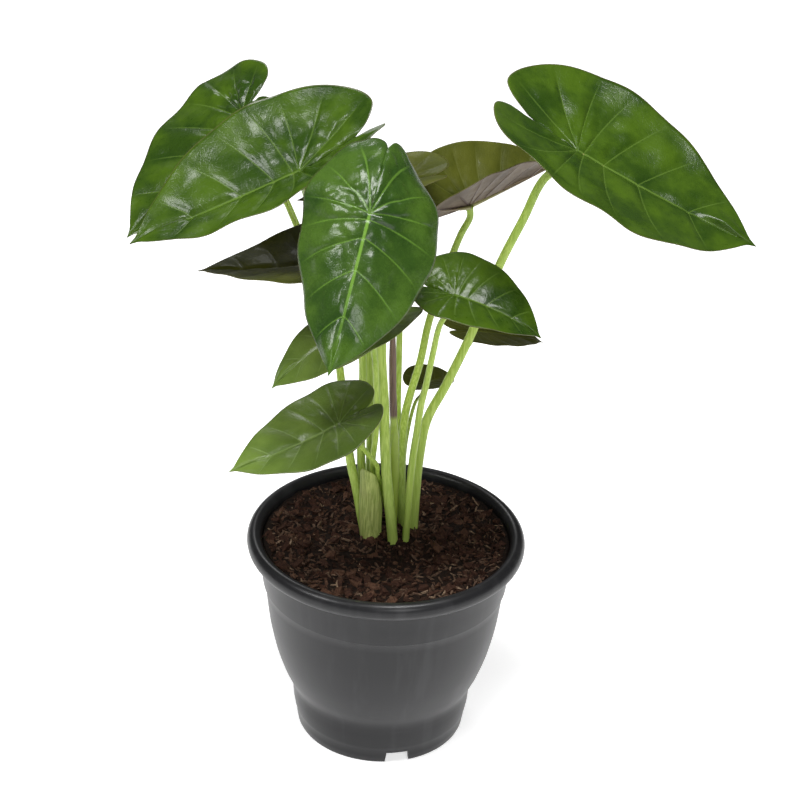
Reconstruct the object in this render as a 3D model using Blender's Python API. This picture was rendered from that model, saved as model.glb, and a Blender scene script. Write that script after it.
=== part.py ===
"""Potted alocasia: a clump of leaf stalks with arrow-shaped blades in a round nursery pot.

Frame: origin at the centre of the pot's base on the ground, +Z up, -Y the front of the plant.
Lengths are in metres and angles in degrees unless a name says otherwise.
"""
import math
from collections import namedtuple

import bmesh
import bpy
from mathutils import Vector

# Driving dimensions
GAP = 0.0004                 # clearance between pieces that touch
POT_SEGMENTS = 40
WALL = 0.0024                # plastic thickness of the pot
RIM_TOP = 0.1605
RIM_RADIUS = 0.100           # outside of the rolled rim
RIM_HALF_WIDTH = 0.0055
RIM_HALF_HEIGHT = 0.0064
COLLAR_RADIUS = 0.0915       # wall just below the rim
FOOT_RADIUS = 0.0612
FLOOR_UNDERSIDE = 0.010
FLOOR_TOP = FLOOR_UNDERSIDE + WALL
NOTCH_COUNT = 3
NOTCH_FIRST_ANGLE = -77      # seen from above, from +X
NOTCH_WIDTH = 0.0186
NOTCH_HEIGHT = 0.009
DRAIN_COUNT = 6
DRAIN_RADIUS = 0.005
DRAIN_RING = 0.041
PAD_RADIUS = 0.022           # flat centre of the base that stands on the ground
PAD_SLOPE = 0.003            # run of the step between the centre and the raised floor
SOIL_TOP = 0.1525
CORM_CENTRE = (0.001, 0.0150)
CORM_RADIUS = 0.0285
CORM_DEPTH = 0.022
STALK_FOOT = SOIL_TOP + 0.0024
BLADE_THICKNESS = 0.0008
STALK_CLEARANCE = 0.0006     # between a stalk's top and its blade
STALK_SIDES_RESOLUTION = 2   # a curve bevel of this resolution has 8 sides
STALK_SPAN = 0.032           # longest stretch between two rings of a stalk

# The pot's outer wall from the foot to the collar: a low base ring, a faint ridge, then the bowl
WALL_PROFILE = (
    (FOOT_RADIUS, 0.0),
    (0.0628, 0.006),
    (0.0632, 0.012),
    (0.0650, 0.020),
    (0.0656, 0.030),
    (0.0685, 0.040),
    (0.0725, 0.048),
    (0.0765, 0.060),
    (0.0804, 0.075),
    (0.0833, 0.090),
    (0.0852, 0.105),
    (0.0868, 0.1205),
    (0.0884, 0.123),
    (COLLAR_RADIUS, 0.1455),
)

# Half of a blade's edge from the tip round the lobe to the notch between the lobes.
# The first number runs along the midrib (stalk at 0, tip at 1), the second out to the side.
BLADE_EDGE = (
    (1.0, 0.0), (0.955, 0.022), (0.90, 0.075), (0.80, 0.165), (0.60, 0.305), (0.35, 0.42),
    (0.08, 0.475), (-0.18, 0.455), (-0.38, 0.36), (-0.50, 0.23), (-0.52, 0.12),
    (-0.44, 0.035), (-0.33, 0.0),
)
NOTCH_DEPTH = 0.33           # from the stalk to the notch between the lobes, in midrib lengths
NOTCH_CLOSED = {"front": 0.14}    # how far a blade's lobes have grown together
NOTCH_SPAN = 0.16            # half-width of the stretch that closes

# One leaf: where its stalk meets the blade, the way the tip points (0 = +X, 90 = +Y), the slope
# of the midrib, the tilt about it, the midrib length, the width and lobe factors (left half,
# right half), the bend of the tip and of the lobes, the V fold, the curl of the edges, the twist,
# the stalk's foot and the points that its route passes, then its radius at the foot and the blade.
Leaf = namedtuple("Leaf", "name joint heading pitch roll length width lobe droop back fold curl twist "
                          "foot route foot_radius top_radius")

LEAVES = (
    Leaf("left_back", (-0.113, 0.112, 0.432), 216, -41, 0, 0.120,
         (1.09, 1.09), (0.30, 0.62), -5, -28, 0, -11, -18, (-0.0150, 0.0040),
         ((-0.0189, 0.0086, 0.1713), (-0.0230, 0.0122, 0.1899), (-0.0271, 0.0157, 0.2052),
          (-0.0343, 0.0299, 0.2493), (-0.0377, 0.0383, 0.2721), (-0.0488, 0.0560, 0.3150),
          (-0.0596, 0.0660, 0.3395), (-0.0712, 0.0780, 0.3615), (-0.0791, 0.0900, 0.3736),
          (-0.0960, 0.1060, 0.4006)),
         0.0038, 0.0021),
    Leaf("left", (-0.067, 0.012, 0.431), 195, -23, -9, 0.122,
         (1.10, 1.10), (1.05, 1.05), -4, -34, 17, 22, -8, (-0.0094, 0.0233),
         ((-0.0133, 0.0270, 0.1859), (-0.0138, 0.0290, 0.2180), (-0.0152, 0.0304, 0.2499),
          (-0.0171, 0.0319, 0.2827), (-0.0225, 0.0350, 0.3108), (-0.0354, 0.0385, 0.3472),
          (-0.0505, 0.0400, 0.3777), (-0.0615, 0.0340, 0.4021)),
         0.0038, 0.0026),
    Leaf("front", (-0.017, -0.085, 0.444), -110, -53, -17, 0.105,
         (1.05, 1.01), (1.08, 1.08), -1, 86, -20, -45, 16, (0.0047, -0.0053),
         ((-0.0018, 0.0010, 0.2099), (-0.0039, 0.0039, 0.2407), (-0.0049, 0.0065, 0.2593),
          (-0.0083, 0.0100, 0.3030), (-0.0055, 0.0060, 0.3520), (-0.0050, -0.0160, 0.3980),
          (-0.0135, -0.0540, 0.4220)),
         0.0048, 0.0030),
    Leaf("left_mid", (-0.05, -0.018, 0.378), 169, -16, -7, 0.086,
         (1.07, 1.15), (0.90, 0.90), -11, 15, 10, 16, 14, (-0.0074, 0.0143),
         ((-0.0162, 0.0170, 0.1705), (-0.0195, 0.0197, 0.1982), (-0.0205, 0.0203, 0.2227),
          (-0.0205, 0.0193, 0.2557), (-0.0215, 0.0166, 0.2943), (-0.0297, 0.0090, 0.3310)),
         0.0036, 0.0024),
    Leaf("left_low", (-0.019, -0.04, 0.346), 194, -22, 0, 0.077,
         (1.00, 1.00), (0.95, 0.95), 26, 17, 3, -13, -15, (-0.0064, 0.0029),
         ((-0.0117, 0.0053, 0.2071), (-0.0098, -0.0005, 0.2430), (-0.0101, -0.0039, 0.2687),
          (-0.0119, -0.0120, 0.3041)),
         0.0026, 0.0020),
    Leaf("front_low", (-0.0345, -0.045, 0.272), 196, -28, -3, 0.081,
         (1.06, 1.12), (0.75, 0.75), -15, 0, 12, -27, -8, (0.0045, 0.0049),
         ((-0.0026, 0.0078, 0.1835), (-0.0057, 0.0066, 0.1957), (-0.0077, 0.0017, 0.2060),
          (-0.0082, -0.0032, 0.2154), (-0.0132, -0.0095, 0.2261), (-0.0196, -0.0196, 0.2406)),
         0.0020, 0.0016),
    Leaf("right_low", (0.039, -0.05, 0.374), -14, -9, 14, 0.064,
         (1.22, 1.05), (0.80, 0.80), 27, 8, 16, -24, 0, (0.0139, -0.0020),
         ((0.0164, -0.0010, 0.2185), (0.0188, -0.0015, 0.2424), (0.0209, -0.0031, 0.2659),
          (0.0237, -0.0060, 0.2832), (0.0274, -0.0140, 0.3122), (0.0307, -0.0240, 0.3378)),
         0.0036, 0.0018),
    Leaf("right", (0.118, 0.020, 0.450), -13, -26, 8, 0.134,
         (1.17, 1.35), (0.93, 0.93), -7, -25, 2, 40, 8, (0.0187, 0.0146),
         ((0.0199, 0.0164, 0.1927), (0.0213, 0.0171, 0.2115), (0.0258, 0.0180, 0.2423),
          (0.0381, 0.0187, 0.2706), (0.0549, 0.0200, 0.3138), (0.0708, 0.0200, 0.3648),
          (0.0844, 0.0200, 0.3981), (0.0972, 0.0200, 0.4291)),
         0.0038, 0.0028),
    Leaf("back_right", (0.0497, 0.090, 0.3774), 40, 7, -3, 0.090,
         (1.08, 0.96), (0.90, 0.90), -3, -16, 48, 6, -1, (0.0110, 0.0173),
         ((0.0089, 0.0237, 0.1971), (0.0091, 0.0295, 0.2187), (0.0102, 0.0361, 0.2357),
          (0.0132, 0.0419, 0.2490), (0.0195, 0.0551, 0.2690), (0.0254, 0.0705, 0.2968),
          (0.0444, 0.0870, 0.3546)),
         0.0038, 0.0024),
    Leaf("back_left", (-0.002, 0.060, 0.404), 175, -19, -4, 0.071,
         (1.02, 1.02), (1.00, 1.00), -10, 8, 11, 3, -5, (0.0045, 0.0223),
         ((0.0063, 0.0304, 0.1931), (0.0053, 0.0377, 0.2222), (0.0046, 0.0457, 0.2465),
          (0.0041, 0.0532, 0.2870)),
         0.0030, 0.0020),
    Leaf("right_under", (0.057, 0.052, 0.297), 21, -13, 5, 0.057,
         (1.00, 1.00), (0.75, 0.75), 8, 12, 10, 1, 1, (0.0199, 0.0238),
         ((0.0202, 0.0268, 0.1916), (0.0226, 0.0295, 0.2110), (0.0274, 0.0340, 0.2351),
          (0.0393, 0.0405, 0.2589), (0.0496, 0.0460, 0.2830)),
         0.0026, 0.0016),
    Leaf("back_low", (0.024, 0.084, 0.237), 48, -7, 10, 0.034,
         (1.02, 1.02), (0.95, 0.95), 9, 10, 19, 1, 7, (0.0125, 0.0277),
         ((0.0110, 0.0437, 0.1981), (0.0135, 0.0549, 0.2170), (0.0173, 0.0667, 0.2291)),
         0.0020, 0.0011),
)
LARGE_BLADE = 0.09           # midribs longer than this get the finer mesh
SPEAR_FOOT = (0.0042, 0.0126)
SPEAR_ROUTE = ((0.0042, 0.0157, 0.2015), (0.0028, 0.0175, 0.2333), (0.0012, 0.0189, 0.2574))
SPEAR_TIP = (-0.0012, 0.0215, 0.318)
SPEAR_RADII = (0.0034, 0.0022)       # at the foot and at the tip

Look = namedtuple("Look", "colour roughness metallic")
POT_LOOK = Look((0.030, 0.031, 0.033), 0.42, 0.0)
SOIL_LOOK = Look((0.035, 0.020, 0.013), 0.95, 0.0)
CORM_LOOK = Look((0.16, 0.10, 0.05), 0.80, 0.0)
BLADE_LOOK = Look((0.030, 0.110, 0.018), 0.33, 0.0)
STALK_LOOK = Look((0.36, 0.50, 0.10), 0.45, 0.0)
SPEAR_LOOK = Look((0.12, 0.06, 0.045), 0.45, 0.0)


def clear_scene():
    """Remove every object of the scene the script starts in."""
    for item in list(bpy.data.objects):
        bpy.data.objects.remove(item, do_unlink=True)


def give_material(item, look):
    """Give an object its own Principled material."""
    material = bpy.data.materials.new(item.name + "_material")
    material.use_nodes = True
    shader = material.node_tree.nodes["Principled BSDF"]
    shader.inputs["Base Color"].default_value = (*look.colour, 1.0)
    shader.inputs["Roughness"].default_value = look.roughness
    shader.inputs["Metallic"].default_value = look.metallic
    item.data.materials.append(material)


def object_from_bmesh(name, mesh_edit, look):
    """Turn a bmesh into a named object in the scene."""
    mesh = bpy.data.meshes.new(name)
    mesh_edit.to_mesh(mesh)
    mesh_edit.free()
    item = bpy.data.objects.new(name, mesh)
    bpy.context.collection.objects.link(item)
    give_material(item, look)
    return item


def shade_round(item, sharp_angle=40):
    """Smooth shading with the real edges kept sharp."""
    item.data.shade_smooth()
    item.data.set_sharp_from_angle(angle=math.radians(sharp_angle))


def turned(name, outline, look):
    """A solid of revolution; the outline runs from the axis round and back to the axis."""
    edit = bmesh.new()
    corners = [edit.verts.new((radius, 0.0, height)) for radius, height in outline]
    edges = [edit.edges.new(pair) for pair in zip(corners, corners[1:])]
    bmesh.ops.spin(edit, geom=corners + edges, cent=(0, 0, 0), axis=(0, 0, 1),
                   angle=math.tau, steps=POT_SEGMENTS, use_merge=True)
    bmesh.ops.remove_doubles(edit, verts=edit.verts, dist=0.00001)
    bmesh.ops.recalc_face_normals(edit, faces=edit.faces)
    return object_from_bmesh(name, edit, look)


def cutter(name, edit):
    """A tool shape that only cuts: hidden from render and left out of the object."""
    mesh = bpy.data.meshes.new(name)
    edit.to_mesh(mesh)
    edit.free()
    item = bpy.data.objects.new(name, mesh)
    bpy.context.collection.objects.link(item)
    item.hide_render = True
    item.display_type = "WIRE"
    return item


def cut(item, tool):
    """Take a tool shape out of an object."""
    modifier = item.modifiers.new(tool.name, "BOOLEAN")
    modifier.operation = "DIFFERENCE"
    modifier.solver = "EXACT"
    modifier.object = tool


def smooth_path(points, count):
    """Evenly spread points on a centripetal Catmull-Rom curve through the given points."""
    knots = [Vector(point) for point in points]
    knots.insert(0, 2 * knots[0] - knots[1])
    knots.append(2 * knots[-1] - knots[-2])
    times = [0.0]
    for first, second in zip(knots, knots[1:]):
        times.append(times[-1] + math.sqrt((second - first).length))
    path = []
    for step in range(count):
        time = times[1] + (times[-2] - times[1]) * step / (count - 1)
        span = 1
        while span < len(knots) - 3 and time > times[span + 1]:
            span += 1
        p0, p1, p2, p3 = knots[span - 1:span + 3]
        t0, t1, t2, t3 = times[span - 1:span + 3]
        a1 = p0.lerp(p1, (time - t0) / (t1 - t0))
        a2 = p1.lerp(p2, (time - t1) / (t2 - t1))
        a3 = p2.lerp(p3, (time - t2) / (t3 - t2))
        b1 = a1.lerp(a2, (time - t0) / (t2 - t0))
        b2 = a2.lerp(a3, (time - t1) / (t3 - t1))
        path.append(b1.lerp(b2, (time - t1) / (t2 - t1)))
    return path


def rim_arc():
    """The rolled rim, from under its outside edge over the top to the inside."""
    points = []
    for degrees in range(-90, 181, 30):
        angle = math.radians(degrees)
        radius = RIM_RADIUS - RIM_HALF_WIDTH + RIM_HALF_WIDTH * math.cos(angle)
        height = RIM_TOP - RIM_HALF_HEIGHT + RIM_HALF_HEIGHT * math.sin(angle)
        points.append((radius, height))
    return points


def inner_wall(clearance, top):
    """The bowl's inside, top to floor, drawn in by a clearance."""
    points = []
    for radius, height in reversed(WALL_PROFILE):
        if FLOOR_TOP + WALL < height < top:
            points.append((radius - WALL - clearance, height))
    points.append((FOOT_RADIUS + 0.0012 - WALL - clearance, FLOOR_TOP + clearance))
    return points


def floor_step(clearance):
    """The inside of the floor from its raised ring down to the flat centre and the axis."""
    inset = WALL * 0.6 + clearance
    return [(PAD_RADIUS + PAD_SLOPE - inset, FLOOR_TOP + clearance),
            (PAD_RADIUS - inset, WALL + clearance), (0.0, WALL + clearance)]


def build_pot():
    """Round tapered pot with a rolled rim, a foot ring with notches and drain holes."""
    foot_inside = FOOT_RADIUS - WALL - 0.0006
    outline = [(0.0, 0.0), (PAD_RADIUS, 0.0), (PAD_RADIUS + PAD_SLOPE, FLOOR_UNDERSIDE),
               (foot_inside, FLOOR_UNDERSIDE), (foot_inside, 0.0)]
    outline += list(WALL_PROFILE)
    outline += rim_arc()
    outline += inner_wall(0.0, RIM_TOP)
    outline += floor_step(0.0)
    pot = turned("pot", outline, POT_LOOK)

    drains = bmesh.new()
    for index in range(DRAIN_COUNT):
        angle = math.tau * index / DRAIN_COUNT
        made = bmesh.ops.create_cone(drains, cap_ends=True, segments=12, radius1=DRAIN_RADIUS,
                                     radius2=DRAIN_RADIUS, depth=4 * WALL)
        place = Vector((DRAIN_RING * math.cos(angle), DRAIN_RING * math.sin(angle),
                        FLOOR_UNDERSIDE + WALL / 2))
        bmesh.ops.translate(drains, verts=made["verts"], vec=place)
    cut(pot, cutter("drain_tool", drains))

    notches = bmesh.new()
    for index in range(NOTCH_COUNT):
        angle = math.radians(NOTCH_FIRST_ANGLE + 360 * index / NOTCH_COUNT)
        made = bmesh.ops.create_cube(notches, size=1.0)
        for vert in made["verts"]:
            top = vert.co.z > 0
            width = NOTCH_WIDTH * (0.86 if top else 1.0)
            along = FOOT_RADIUS + vert.co.x * 0.020
            across = vert.co.y * width
            height = NOTCH_HEIGHT if top else -0.005
            vert.co = (along * math.cos(angle) - across * math.sin(angle),
                       along * math.sin(angle) + across * math.cos(angle), height)
    cut(pot, cutter("notch_tool", notches))
    shade_round(pot)
    return pot


def soil_height(x, y):
    """Gentle unevenness of the soil's surface."""
    return 0.0008 * math.sin(90 * x + 1.0) * math.cos(70 * y) + 0.0005 * math.sin(160 * y + 40 * x)


def build_soil():
    """The potting mix that fills the pot, with a pit round the rootstock."""
    soil_radius = inner_wall(GAP, SOIL_TOP)[0][0]
    outline = [(0.0, SOIL_TOP)]
    for share in (0.25, 0.45, 0.62, 0.78, 0.90, 0.97):
        outline.append((soil_radius * share, SOIL_TOP))
    outline.append((RIM_RADIUS - 2 * RIM_HALF_WIDTH - GAP, SOIL_TOP - 0.0018))
    outline += inner_wall(GAP, SOIL_TOP)
    outline += floor_step(GAP)
    soil = turned("potting_mix", outline, SOIL_LOOK)
    for vert in soil.data.vertices:
        if abs(vert.co.z - SOIL_TOP) < 0.0001:
            vert.co.z += soil_height(vert.co.x, vert.co.y)

    pit = bmesh.new()
    made = bmesh.ops.create_cone(pit, cap_ends=True, segments=24, radius1=CORM_RADIUS + GAP,
                                 radius2=CORM_RADIUS + GAP, depth=0.060)
    place = Vector((*CORM_CENTRE, SOIL_TOP - CORM_DEPTH - GAP + 0.030))
    bmesh.ops.translate(pit, verts=made["verts"], vec=place)
    cut(soil, cutter("pit_tool", pit))
    shade_round(soil)
    return soil


def build_corm():
    """The rootstock that all stalks stand on, set in the pit of the potting mix."""
    edit = bmesh.new()
    bmesh.ops.create_cone(edit, cap_ends=True, segments=24, radius1=CORM_RADIUS * 0.8,
                          radius2=CORM_RADIUS, depth=CORM_DEPTH)
    bmesh.ops.translate(edit, verts=edit.verts,
                        vec=Vector((*CORM_CENTRE, SOIL_TOP + 0.0006 - CORM_DEPTH / 2)))
    corm = object_from_bmesh("corm", edit, CORM_LOOK)
    shade_round(corm)
    return corm


def blade_axes(leaf):
    """Unit vectors of a blade at its stalk: towards the tip, to the left side, out of the top."""
    heading = math.radians(leaf.heading)
    pitch = math.radians(leaf.pitch)
    roll = math.radians(leaf.roll)
    forward = Vector((math.cos(heading) * math.cos(pitch), math.sin(heading) * math.cos(pitch),
                      math.sin(pitch)))
    level_side = Vector((-math.sin(heading), math.cos(heading), 0.0))
    level_top = forward.cross(level_side)
    side = level_side * math.cos(roll) + level_top * math.sin(roll)
    return forward, side, forward.cross(side)


def blade_point(leaf, along, across):
    """A point of the bent blade from its place on the flat one, in midrib lengths."""
    forward, side, top = blade_axes(leaf)
    bend = math.radians(leaf.droop if along > 0 else leaf.back)
    angle = bend * abs(along)
    reach = abs(along)
    drop = 0.0
    if abs(bend) > 0.001:
        reach = math.sin(angle) / bend
        drop = (1 - math.cos(angle)) / bend
    direction = 1 if along > 0 else -1
    lift = math.radians(leaf.fold) + math.radians(leaf.curl) * abs(across) / 2
    out = across * math.cos(lift)
    rise = abs(across) * math.sin(lift)
    turn = math.radians(leaf.twist) * along
    out, rise = (out * math.cos(turn) - rise * math.sin(turn),
                 out * math.sin(turn) + rise * math.cos(turn))
    local = (forward * (direction * (reach + rise * math.sin(angle)))
             + side * out + top * (rise * math.cos(angle) - drop))
    return Vector(leaf.joint) + local * leaf.length


def close_notch(leaf, along, across):
    """Carry the notch between the lobes back on a blade whose lobes have grown together."""
    middle = max(0.0, 1 - across / NOTCH_SPAN)
    behind = min(1.0, max(0.0, -along / NOTCH_DEPTH))
    return along - NOTCH_CLOSED.get(leaf.name, 0.0) * middle * behind


def build_blade(leaf):
    """One arrow-shaped blade: a grid laid on the bent outline, given its thickness."""
    rows, columns = (12, 3) if leaf.length > LARGE_BLADE else (10, 2)
    edge = smooth_path([(along, across, 0.0) for along, across in BLADE_EDGE], rows + 1)
    edit = bmesh.new()
    bmesh.ops.create_grid(edit, x_segments=rows, y_segments=2 * columns, size=1.0)
    for vert in edit.verts:
        row = round((vert.co.x + 1) / 2 * rows)
        share = vert.co.y
        rim = edge[row]
        root = 1 - (1 + NOTCH_DEPTH) * (row / rows) ** 0.6
        along = close_notch(leaf, root + (rim.x - root) * abs(share), rim.y * abs(share))
        if along < 0:
            along *= leaf.lobe[share < 0]
        across = rim.y * leaf.width[share < 0] * share
        vert.co = blade_point(leaf, along, across)
    bmesh.ops.remove_doubles(edit, verts=edit.verts, dist=0.00005)
    blade = object_from_bmesh("blade_" + leaf.name, edit, BLADE_LOOK)
    skin = blade.modifiers.new("thickness", "SOLIDIFY")
    skin.thickness = BLADE_THICKNESS
    skin.offset = 0.0
    skin.use_even_offset = True
    shade_round(blade, 60)
    return blade


def stalk_route(leaf):
    """The points a stalk passes: its foot, its route and the last stretch square to the blade."""
    top = blade_axes(leaf)[2]
    dip = leaf.top_radius * max(0.0, -math.sin(math.radians(leaf.fold)))
    end = Vector(leaf.joint) - top * (BLADE_THICKNESS + STALK_CLEARANCE + dip)
    return [Vector((*leaf.foot, STALK_FOOT)), *map(Vector, leaf.route), end - top * 0.008, end]


def build_stalk(name, points, foot_radius, top_radius, look):
    """A round tapering stalk along a smooth route, with closed ends."""
    length = sum((second - first).length for first, second in zip(points, points[1:]))
    path = smooth_path(points, max(5, math.ceil(length / STALK_SPAN) + 1))
    curve = bpy.data.curves.new(name, "CURVE")
    curve.dimensions = "3D"
    curve.bevel_depth = 1.0
    curve.bevel_resolution = STALK_SIDES_RESOLUTION
    curve.use_fill_caps = True
    spline = curve.splines.new("POLY")
    spline.points.add(len(path) - 1)
    for index, (point, place) in enumerate(zip(spline.points, path)):
        share = index / (len(path) - 1)
        point.co = (*place, 1.0)
        point.radius = foot_radius + (top_radius - foot_radius) * share ** 0.6
    stalk = bpy.data.objects.new(name, curve)
    bpy.context.collection.objects.link(stalk)
    give_material(stalk, look)
    return stalk


def build_plant():
    """Every leaf with its stalk, and the rolled new leaf between them."""
    for leaf in LEAVES:
        build_blade(leaf)
        build_stalk("stalk_" + leaf.name, stalk_route(leaf), leaf.foot_radius, leaf.top_radius,
                    STALK_LOOK)
    spear_points = [Vector((*SPEAR_FOOT, STALK_FOOT)), *map(Vector, SPEAR_ROUTE), Vector(SPEAR_TIP)]
    build_stalk("new_leaf", spear_points, *SPEAR_RADII, SPEAR_LOOK)


clear_scene()
build_pot()
build_soil()
build_corm()
build_plant()
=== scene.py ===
"""Looks for the potted alocasia: leaf blades, stalks, potting mix and pot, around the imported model.

Lengths are in metres and angles in degrees unless a name says otherwise. -Y is the front.
"""

import math
import random
from collections import namedtuple

import bmesh
import bpy
import numpy as np
from mathutils import Euler, Matrix, Vector, noise


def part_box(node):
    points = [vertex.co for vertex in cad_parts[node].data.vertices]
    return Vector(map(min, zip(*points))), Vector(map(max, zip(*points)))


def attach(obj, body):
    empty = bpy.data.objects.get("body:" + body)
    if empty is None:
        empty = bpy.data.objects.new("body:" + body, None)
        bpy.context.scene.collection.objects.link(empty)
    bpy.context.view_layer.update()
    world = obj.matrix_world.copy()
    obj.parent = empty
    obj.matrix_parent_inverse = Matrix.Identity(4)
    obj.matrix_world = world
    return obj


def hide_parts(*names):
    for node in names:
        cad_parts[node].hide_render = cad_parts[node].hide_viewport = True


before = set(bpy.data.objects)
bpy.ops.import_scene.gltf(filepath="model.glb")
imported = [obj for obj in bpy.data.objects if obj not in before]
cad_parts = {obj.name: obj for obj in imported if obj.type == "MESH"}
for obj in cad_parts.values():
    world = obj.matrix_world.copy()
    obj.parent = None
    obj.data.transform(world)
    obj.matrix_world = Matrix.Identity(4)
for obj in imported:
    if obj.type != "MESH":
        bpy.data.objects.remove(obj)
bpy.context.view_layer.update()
random.seed(7)

# ---------------------------------------------------------------- sizes shared with the model

POT_LOW, POT_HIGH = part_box("pot")
RIM_TOP = POT_HIGH[2]
RIM_RADIUS = POT_HIGH[0]
SOIL_TOP = 0.1525
SOIL_RADIUS = 0.0884
FOOT_RADIUS = 0.0612
CLUMP = Vector((0.002, 0.013, SOIL_TOP))    # middle of the stalks' feet

# One leaf as the model has it: where its stalk meets the blade, the way the tip points, the slope
# of the midrib, the tilt about it, the midrib length, the width and lobe factors (left half,
# right half), the bend of the tip and of the lobes, the V fold, the curl of the edges, the twist,
# the stalk's foot and the points that its route passes, then its radius at the foot and the blade.
Leaf = namedtuple("Leaf", "name joint heading pitch roll length width lobe droop back fold curl twist "
                          "foot route foot_radius top_radius")

LEAVES = (
    Leaf("left_back", (-0.113, 0.112, 0.432), 216, -41, 0, 0.120,
         (1.09, 1.09), (0.30, 0.62), -5, -28, 0, -11, -18, (-0.0150, 0.0040),
         ((-0.0189, 0.0086, 0.1713), (-0.0230, 0.0122, 0.1899), (-0.0271, 0.0157, 0.2052),
          (-0.0343, 0.0299, 0.2493), (-0.0377, 0.0383, 0.2721), (-0.0488, 0.0560, 0.3150),
          (-0.0596, 0.0660, 0.3395), (-0.0712, 0.0780, 0.3615), (-0.0791, 0.0900, 0.3736),
          (-0.0960, 0.1060, 0.4006)),
         0.0038, 0.0021),
    Leaf("left", (-0.067, 0.012, 0.431), 195, -23, -9, 0.122,
         (1.10, 1.10), (1.05, 1.05), -4, -34, 17, 22, -8, (-0.0094, 0.0233),
         ((-0.0133, 0.0270, 0.1859), (-0.0138, 0.0290, 0.2180), (-0.0152, 0.0304, 0.2499),
          (-0.0171, 0.0319, 0.2827), (-0.0225, 0.0350, 0.3108), (-0.0354, 0.0385, 0.3472),
          (-0.0505, 0.0400, 0.3777), (-0.0615, 0.0340, 0.4021)),
         0.0038, 0.0026),
    Leaf("front", (-0.017, -0.085, 0.444), -110, -53, -17, 0.105,
         (1.05, 1.01), (1.08, 1.08), -1, 86, -20, -45, 16, (0.0047, -0.0053),
         ((-0.0018, 0.0010, 0.2099), (-0.0039, 0.0039, 0.2407), (-0.0049, 0.0065, 0.2593),
          (-0.0083, 0.0100, 0.3030), (-0.0055, 0.0060, 0.3520), (-0.0050, -0.0160, 0.3980),
          (-0.0135, -0.0540, 0.4220)),
         0.0048, 0.0030),
    Leaf("left_mid", (-0.05, -0.018, 0.378), 169, -16, -7, 0.086,
         (1.07, 1.15), (0.90, 0.90), -11, 15, 10, 16, 14, (-0.0074, 0.0143),
         ((-0.0162, 0.0170, 0.1705), (-0.0195, 0.0197, 0.1982), (-0.0205, 0.0203, 0.2227),
          (-0.0205, 0.0193, 0.2557), (-0.0215, 0.0166, 0.2943), (-0.0297, 0.0090, 0.3310)),
         0.0036, 0.0024),
    Leaf("left_low", (-0.019, -0.04, 0.346), 194, -22, 0, 0.077,
         (1.00, 1.00), (0.95, 0.95), 26, 17, 3, -13, -15, (-0.0064, 0.0029),
         ((-0.0117, 0.0053, 0.2071), (-0.0098, -0.0005, 0.2430), (-0.0101, -0.0039, 0.2687),
          (-0.0119, -0.0120, 0.3041)),
         0.0026, 0.0020),
    Leaf("front_low", (-0.0345, -0.045, 0.272), 196, -28, -3, 0.081,
         (1.06, 1.12), (0.75, 0.75), -15, 0, 12, -27, -8, (0.0045, 0.0049),
         ((-0.0026, 0.0078, 0.1835), (-0.0057, 0.0066, 0.1957), (-0.0077, 0.0017, 0.2060),
          (-0.0082, -0.0032, 0.2154), (-0.0132, -0.0095, 0.2261), (-0.0196, -0.0196, 0.2406)),
         0.0020, 0.0016),
    Leaf("right_low", (0.039, -0.05, 0.374), -14, -9, 14, 0.064,
         (1.22, 1.05), (0.80, 0.80), 27, 8, 16, -24, 0, (0.0139, -0.0020),
         ((0.0164, -0.0010, 0.2185), (0.0188, -0.0015, 0.2424), (0.0209, -0.0031, 0.2659),
          (0.0237, -0.0060, 0.2832), (0.0274, -0.0140, 0.3122), (0.0307, -0.0240, 0.3378)),
         0.0036, 0.0018),
    Leaf("right", (0.118, 0.020, 0.450), -13, -26, 8, 0.134,
         (1.17, 1.35), (0.93, 0.93), -7, -25, 2, 40, 8, (0.0187, 0.0146),
         ((0.0199, 0.0164, 0.1927), (0.0213, 0.0171, 0.2115), (0.0258, 0.0180, 0.2423),
          (0.0381, 0.0187, 0.2706), (0.0549, 0.0200, 0.3138), (0.0708, 0.0200, 0.3648),
          (0.0844, 0.0200, 0.3981), (0.0972, 0.0200, 0.4291)),
         0.0038, 0.0028),
    Leaf("back_right", (0.0497, 0.090, 0.3774), 40, 7, -3, 0.090,
         (1.08, 0.96), (0.90, 0.90), -3, -16, 48, 6, -1, (0.0110, 0.0173),
         ((0.0089, 0.0237, 0.1971), (0.0091, 0.0295, 0.2187), (0.0102, 0.0361, 0.2357),
          (0.0132, 0.0419, 0.2490), (0.0195, 0.0551, 0.2690), (0.0254, 0.0705, 0.2968),
          (0.0444, 0.0870, 0.3546)),
         0.0038, 0.0024),
    Leaf("back_left", (-0.002, 0.060, 0.404), 175, -19, -4, 0.071,
         (1.02, 1.02), (1.00, 1.00), -10, 8, 11, 3, -5, (0.0045, 0.0223),
         ((0.0063, 0.0304, 0.1931), (0.0053, 0.0377, 0.2222), (0.0046, 0.0457, 0.2465),
          (0.0041, 0.0532, 0.2870)),
         0.0030, 0.0020),
    Leaf("right_under", (0.057, 0.052, 0.297), 21, -13, 5, 0.057,
         (1.00, 1.00), (0.75, 0.75), 8, 12, 10, 1, 1, (0.0199, 0.0238),
         ((0.0202, 0.0268, 0.1916), (0.0226, 0.0295, 0.2110), (0.0274, 0.0340, 0.2351),
          (0.0393, 0.0405, 0.2589), (0.0496, 0.0460, 0.2830)),
         0.0026, 0.0016),
    Leaf("back_low", (0.024, 0.084, 0.237), 48, -7, 10, 0.034,
         (1.02, 1.02), (0.95, 0.95), 9, 10, 19, 1, 7, (0.0125, 0.0277),
         ((0.0110, 0.0437, 0.1981), (0.0135, 0.0549, 0.2170), (0.0173, 0.0667, 0.2291)),
         0.0020, 0.0011),
)

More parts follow.
